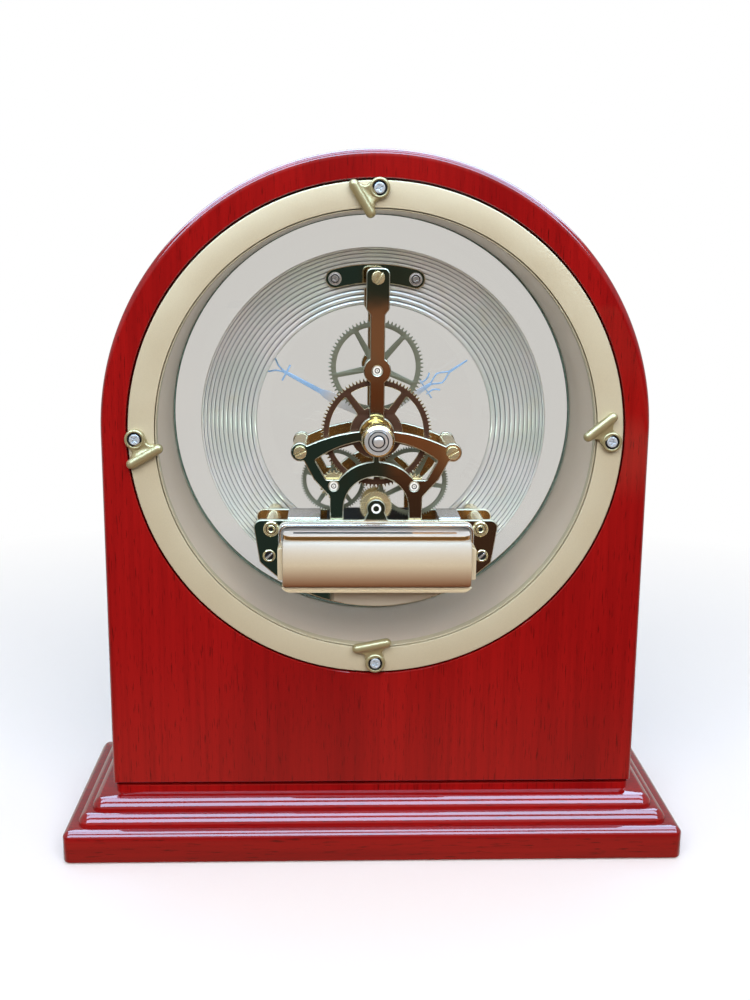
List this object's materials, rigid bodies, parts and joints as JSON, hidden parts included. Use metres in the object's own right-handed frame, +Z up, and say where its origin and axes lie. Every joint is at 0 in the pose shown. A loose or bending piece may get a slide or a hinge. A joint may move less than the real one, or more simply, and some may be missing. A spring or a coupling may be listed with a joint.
{
  "type": "skeleton clock",
  "caption": "Arched gloss-mahogany mantel clock on a stepped base, with a battery skeleton movement hung in a round bore behind a chapter ring.",
  "frame": {"origin": "middle of the bottom of the bounding box, under the felt pads", "axes": "+Z up, +Y towards the dial side, -Y towards the open back with the knob and battery, +X to the right when seen from the back"},
  "size_m": [0.192, 0.072, 0.2143],
  "materials": {
    "mahogany": "high-gloss red mahogany lacquer",
    "felt": "dark felt pads",
    "zinc_screw": "zinc-plated steel screws",
    "sleeve_metal": "satin taupe-grey metal",
    "champagne": "satin champagne-gold metal",
    "cast_gold": "semi-gloss cast gold",
    "bezel_gold": "polished gold",
    "dial_glass": "clear plate glass, greenish edge",
    "chapter_silver": "turned silver, mirror-like ridges",
    "marker_black": "black enamel",
    "gold_mirror": "mirror-polished gold",
    "bronze_wheel": "polished bronze",
    "steel_wheel": "silver-green plated steel",
    "brass_wheel": "polished brass",
    "bushing_white": "white bushings",
    "blue_steel": "light blue hands",
    "nickel": "satin nickel",
    "cover_gold": "satin champagne-gold cover",
    "iron": "soft-iron laminations",
    "copper": "enamelled copper wire",
    "board_green": "printed board",
    "cell_jacket": "printed steel cell jacket"
  },
  "bodies": {
    "clock_case": {"base_plinth": "mahogany", "case_body": "mahogany", "base_screws": "zinc_screw", "felt_feet": "felt", "tube_sleeve": "sleeve_metal", "rear_ring": "champagne", "clip_screws": "zinc_screw", "front_bezel": "bezel_gold", "dial_glass": "dial_glass", "chapter_ring": "chapter_silver", "hour_markers": "marker_black", "dial_posts": "brass_wheel", "dial_screws": "brass_wheel", "top_bracket": "gold_mirror", "bracket_screws": "nickel", "top_post": "brass_wheel", "plate_screws": "brass_wheel", "rear_plate": "gold_mirror", "front_plate": "gold_mirror", "arm_pillars": "brass_wheel", "pivot_bushings": "bushing_white", "bottom_plate_rear": "gold_mirror", "bottom_plate_front": "gold_mirror", "bottom_posts": "brass_wheel", "post_nuts": "brass_wheel", "spacer_blocks": "nickel", "stator": "iron", "coil": "copper", "circuit_board": "board_green", "battery_housing": "nickel", "battery": "cell_jacket", "battery_contacts": "nickel"},
    "centre": {"centre_arbor": "brass_wheel", "centre_wheel": "bronze_wheel", "set_knob": "bezel_gold", "cannon_pinion": "brass_wheel", "minute_hand": "blue_steel", "hand_nut": "brass_wheel"},
    "top_train": {"top_arbor": "brass_wheel", "top_wheel": "steel_wheel"},
    "left_train": {"left_arbor": "brass_wheel", "left_wheel": "steel_wheel"},
    "right_train": {"right_arbor": "brass_wheel", "right_wheel": "steel_wheel"},
    "lower_train": {"lower_arbor": "brass_wheel", "lower_wheel": "brass_wheel", "drive_wheel": "brass_wheel"},
    "rotor_body": {"rotor": "iron"},
    "minute_train": {"minute_wheel": "brass_wheel"},
    "hour_train": {"hour_wheel": "brass_wheel", "hour_hand": "blue_steel"},
    "clip_top_body": {"clip_top": "cast_gold"},
    "clip_left_body": {"clip_left": "cast_gold"},
    "clip_right_body": {"clip_right": "cast_gold"},
    "clip_bottom_body": {"clip_bottom": "cast_gold"},
    "cover_body": {"battery_cover": "cover_gold"}
  },
  "joints": [
    {"name": "centre_turn", "type": "hinge", "parent": "clock_case", "child": "centre", "pos_m": [0, 0, 0.1314], "axis": [0, 1, 0], "continuous": true},
    {"name": "top_turn", "type": "hinge", "parent": "clock_case", "child": "top_train", "pos_m": [0, 0, 0.15048], "axis": [0, 1, 0], "continuous": true},
    {"name": "left_turn", "type": "hinge", "parent": "clock_case", "child": "left_train", "pos_m": [-0.01293, 0, 0.11543], "axis": [0, 1, 0], "continuous": true},
    {"name": "right_turn", "type": "hinge", "parent": "clock_case", "child": "right_train", "pos_m": [0.01157, 0, 0.11531], "axis": [0, 1, 0], "continuous": true},
    {"name": "lower_turn", "type": "hinge", "parent": "clock_case", "child": "lower_train", "pos_m": [0, 0, 0.10871], "axis": [0, 1, 0], "continuous": true},
    {"name": "rotor_turn", "type": "hinge", "parent": "clock_case", "child": "rotor_body", "pos_m": [0, 0, 0.10271], "axis": [0, 1, 0], "continuous": true},
    {"name": "minute_wheel_turn", "type": "hinge", "parent": "clock_case", "child": "minute_train", "pos_m": [0, 0, 0.1239], "axis": [0, 1, 0], "continuous": true},
    {"name": "hour_turn", "type": "hinge", "parent": "clock_case", "child": "hour_train", "pos_m": [0, 0, 0.1314], "axis": [0, 1, 0], "continuous": true},
    {"name": "clip_top_swivel", "type": "hinge", "parent": "clock_case", "child": "clip_top_body", "pos_m": [0, 0, 0.2031], "axis": [0, -1, 0], "range_deg": [-31.5, 58.5]},
    {"name": "clip_left_swivel", "type": "hinge", "parent": "clock_case", "child": "clip_left_body", "pos_m": [-0.07179, 0, 0.13027], "axis": [0, -1, 0], "range_deg": [-29.5, 60.5]},
    {"name": "clip_right_swivel", "type": "hinge", "parent": "clock_case", "child": "clip_right_body", "pos_m": [0.07039, 0, 0.13005], "axis": [0, -1, 0], "range_deg": [-39.5, 50.5]},
    {"name": "clip_bottom_swivel", "type": "hinge", "parent": "clock_case", "child": "clip_bottom_body", "pos_m": [0, 0, 0.0606], "axis": [0, -1, 0], "range_deg": [-11.3, 78.7]},
    {"name": "battery_cover_slide", "type": "slide", "parent": "clock_case", "child": "cover_body", "axis": [0, -1, 0], "range_m": [0, 0.02]}
  ],
  "couplings": [
    {"joint": "top_turn", "follows": "centre_turn", "ratio": -6.4286},
    {"joint": "left_turn", "follows": "centre_turn", "ratio": -4.0909},
    {"joint": "right_turn", "follows": "centre_turn", "ratio": -5},
    {"joint": "lower_turn", "follows": "centre_turn", "ratio": 8.7662},
    {"joint": "rotor_turn", "follows": "centre_turn", "ratio": -35.065},
    {"joint": "minute_wheel_turn", "follows": "centre_turn", "ratio": -0.33333},
    {"joint": "hour_turn", "follows": "centre_turn", "ratio": 0.083333}
  ]
}
